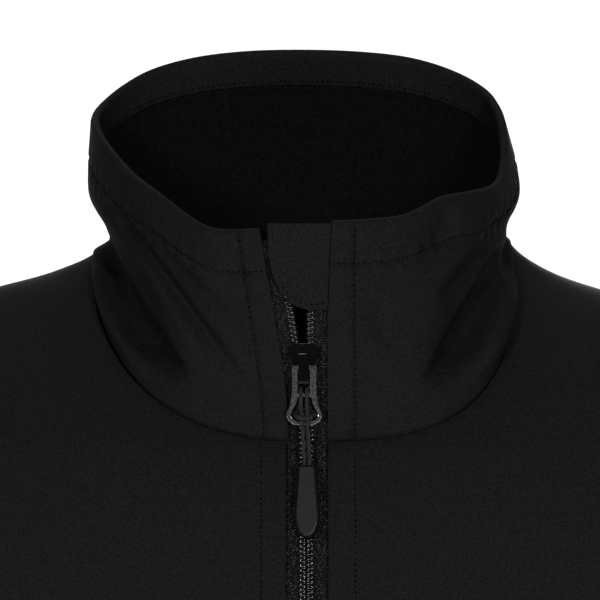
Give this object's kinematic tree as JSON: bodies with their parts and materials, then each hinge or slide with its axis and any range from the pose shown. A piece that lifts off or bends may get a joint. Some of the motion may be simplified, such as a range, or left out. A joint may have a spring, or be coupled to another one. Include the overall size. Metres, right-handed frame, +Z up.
{
  "type": "softshell jacket, filled out with no wearer",
  "caption": "Black zipped softshell jacket with a stand collar, a zip garage, a chrome zip puller and a rubber pull on a cord, filled out as if worn.",
  "frame": {"origin": "midway between the two points where the shoulder seams meet the neck, where the wearer's shoulders hold the jacket up", "axes": "+Z up, the front towards -Y, +X towards the wearer's left sleeve"},
  "size_m": [0.6858, 0.2428, 0.7611],
  "materials": {
    "softshell": "matt black woven face, bonded to a black fleece inside",
    "zip_tape": "black herringbone tape with a black nylon coil",
    "black_plastic": "moulded black",
    "black_metal": "glossy black enamel",
    "chrome": "bright polished plating",
    "cord": "dark grey braid",
    "rubber": "dark grey moulded rubber"
  },
  "bodies": {
    "garment": {"front_right": "softshell", "front_left": "softshell", "back": "softshell", "sleeve_right": "softshell", "sleeve_left": "softshell", "collar": "softshell", "collar_turn_in": "softshell", "zip_tape_right": "zip_tape", "zip_tape_left": "zip_tape", "zip_garage": "softshell", "zip_box": "black_plastic", "zip_pin_right": "black_plastic", "zip_pin_left": "black_plastic", "slider": "black_metal"},
    "puller": {"puller": "chrome"},
    "pull_grip": {"pull_cord": "cord", "pull_tab": "rubber"}
  },
  "joints": [
    {"name": "puller_hinge", "type": "hinge", "parent": "garment", "child": "puller", "pos_m": [-0.0009, -0.07457, -0.04139], "axis": [-1, 0, 0], "range_deg": [0, 120]},
    {"name": "grip_hinge", "type": "hinge", "parent": "puller", "child": "pull_grip", "pos_m": [-0.0009, -0.07496, -0.05088], "axis": [-1, 0, 0], "range_deg": [0, 50]}
  ]
}
